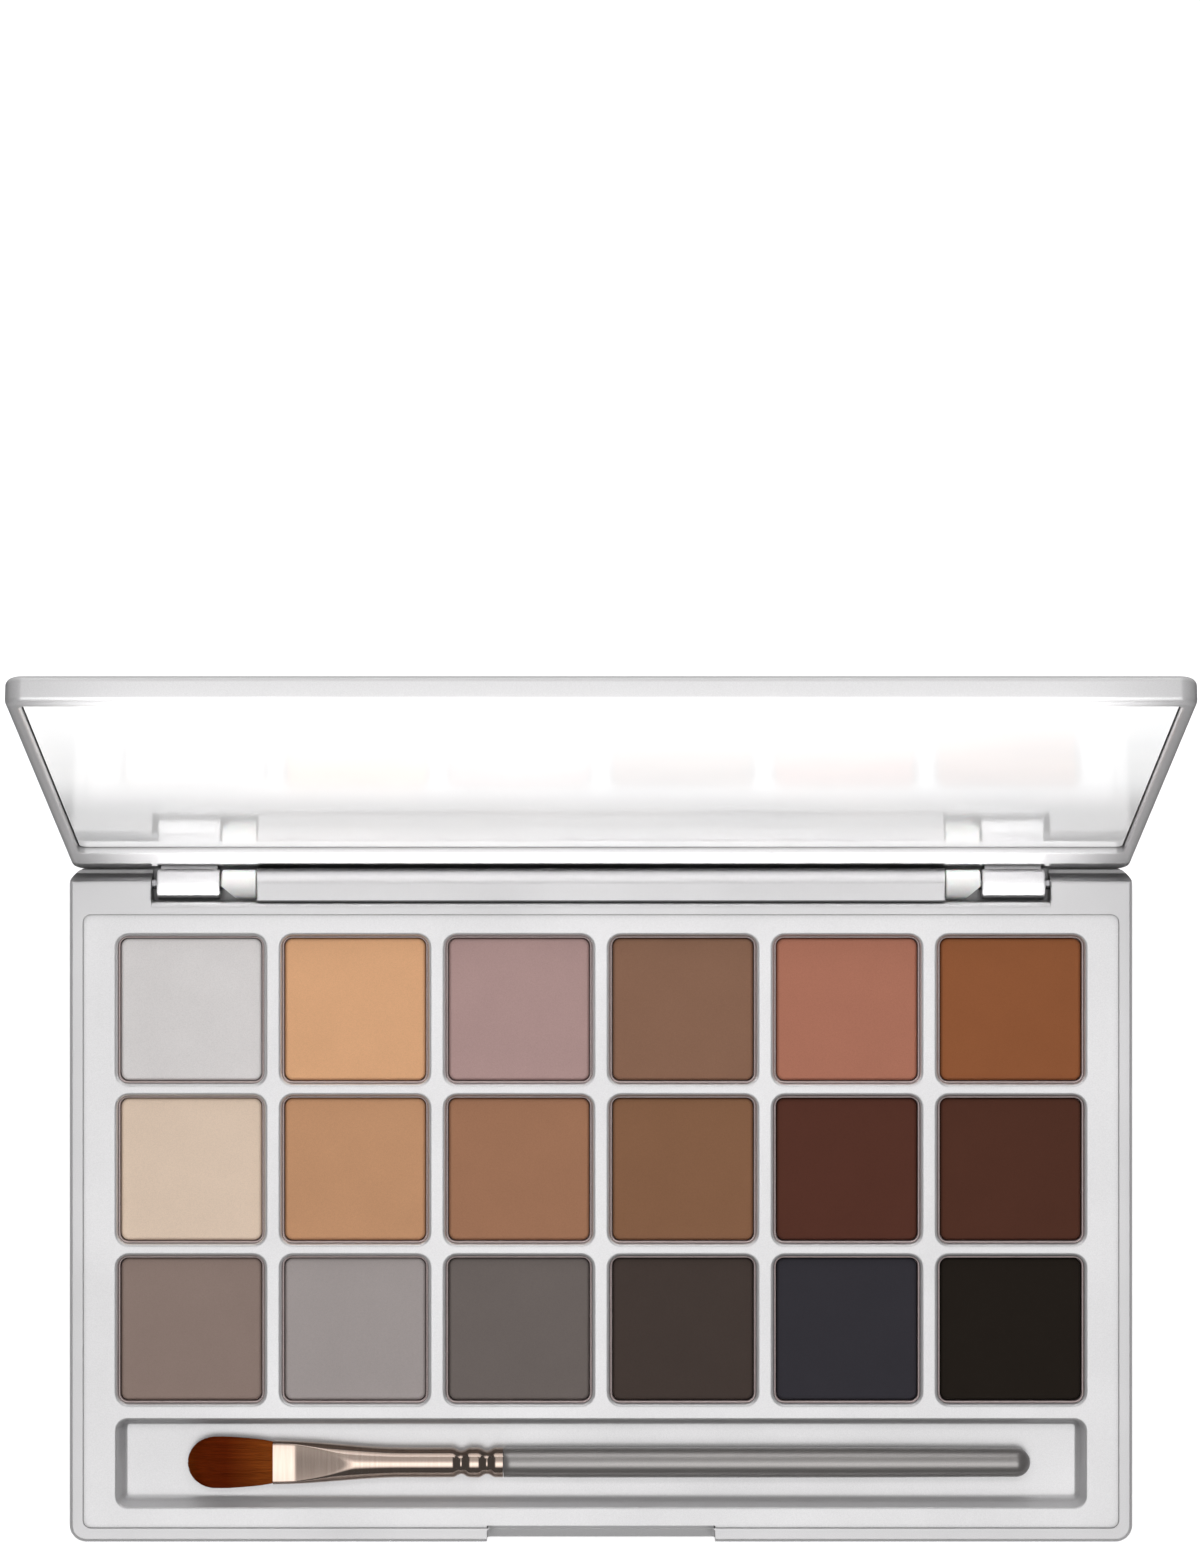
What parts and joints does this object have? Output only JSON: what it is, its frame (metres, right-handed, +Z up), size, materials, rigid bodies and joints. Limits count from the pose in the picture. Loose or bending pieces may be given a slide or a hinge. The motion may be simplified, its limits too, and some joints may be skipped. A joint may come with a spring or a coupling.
{
  "type": "eyeshadow palette",
  "caption": "Flat hinged make-up case, lid standing open with a mirror inside, holding a grid of pressed-powder pans and a flat brush in a trough.",
  "frame": {"origin": "centre of the base's underside", "axes": "+X to the right along the hinge, +Y towards the hinge, +Z up"},
  "size_m": [0.16, 0.1287, 0.1017],
  "materials": {
    "silver_plastic": "silver-coated moulded plastic, satin gloss",
    "tinplate": "thin pressed tinplate, plain",
    "steel_pin": "ground steel",
    "white_bush": "white acetal, smooth",
    "mirror": "silvered acrylic, slightly hazy",
    "foam_tape": "closed-cell adhesive foam",
    "brush_hair": "fine reddish-brown fibres, darker at the tip",
    "ferrule": "polished, warm champagne tint",
    "handle_lacquer": "silver-grey metallic lacquer",
    "powder_1_1": "pressed powder, fine matte grain",
    "powder_1_2": "pressed powder, fine matte grain",
    "powder_1_3": "pressed powder, fine matte grain",
    "powder_1_4": "pressed powder, fine matte grain",
    "powder_1_5": "pressed powder, fine matte grain",
    "powder_1_6": "pressed powder, fine matte grain",
    "powder_2_1": "pressed powder, fine matte grain",
    "powder_2_2": "pressed powder, fine matte grain",
    "powder_2_3": "pressed powder, fine matte grain",
    "powder_2_4": "pressed powder, fine matte grain",
    "powder_2_5": "pressed powder, fine matte grain",
    "powder_2_6": "pressed powder, fine matte grain",
    "powder_3_1": "pressed powder, fine matte grain",
    "powder_3_2": "pressed powder, fine matte grain",
    "powder_3_3": "pressed powder, fine matte grain",
    "powder_3_4": "pressed powder, fine matte grain",
    "powder_3_5": "pressed powder, fine matte grain",
    "powder_3_6": "pressed powder, fine matte grain"
  },
  "bodies": {
    "base": {"base_shell": "silver_plastic", "insert_tray": "silver_plastic", "pan_1_1": "tinplate", "powder_1_1": "powder_1_1", "pan_1_2": "tinplate", "powder_1_2": "powder_1_2", "pan_1_3": "tinplate", "powder_1_3": "powder_1_3", "pan_1_4": "tinplate", "powder_1_4": "powder_1_4", "pan_1_5": "tinplate", "powder_1_5": "powder_1_5", "pan_1_6": "tinplate", "powder_1_6": "powder_1_6", "pan_2_1": "tinplate", "powder_2_1": "powder_2_1", "pan_2_2": "tinplate", "powder_2_2": "powder_2_2", "pan_2_3": "tinplate", "powder_2_3": "powder_2_3", "pan_2_4": "tinplate", "powder_2_4": "powder_2_4", "pan_2_5": "tinplate", "powder_2_5": "powder_2_5", "pan_2_6": "tinplate", "powder_2_6": "powder_2_6", "pan_3_1": "tinplate", "powder_3_1": "powder_3_1", "pan_3_2": "tinplate", "powder_3_2": "powder_3_2", "pan_3_3": "tinplate", "powder_3_3": "powder_3_3", "pan_3_4": "tinplate", "powder_3_4": "powder_3_4", "pan_3_5": "tinplate", "powder_3_5": "powder_3_5", "pan_3_6": "tinplate", "powder_3_6": "powder_3_6", "hinge_pin_left": "steel_pin", "hinge_bush_left": "white_bush", "hinge_pin_right": "steel_pin", "hinge_bush_right": "white_bush"},
    "lid": {"lid_shell": "silver_plastic", "mirror": "mirror", "mirror_tape": "foam_tape"},
    "brush": {"brush_hair": "brush_hair", "brush_ferrule": "ferrule", "brush_handle": "handle_lacquer"}
  },
  "joints": [
    {"name": "lid_hinge", "type": "hinge", "parent": "base", "child": "lid", "pos_m": [0, 0.0482, 0.0065], "axis": [1, 0, 0], "range_deg": [0, 103.7]},
    {"name": "brush_lift", "type": "slide", "parent": "base", "child": "brush", "axis": [0, 0, 1], "range_m": [0, 0.035]}
  ]
}
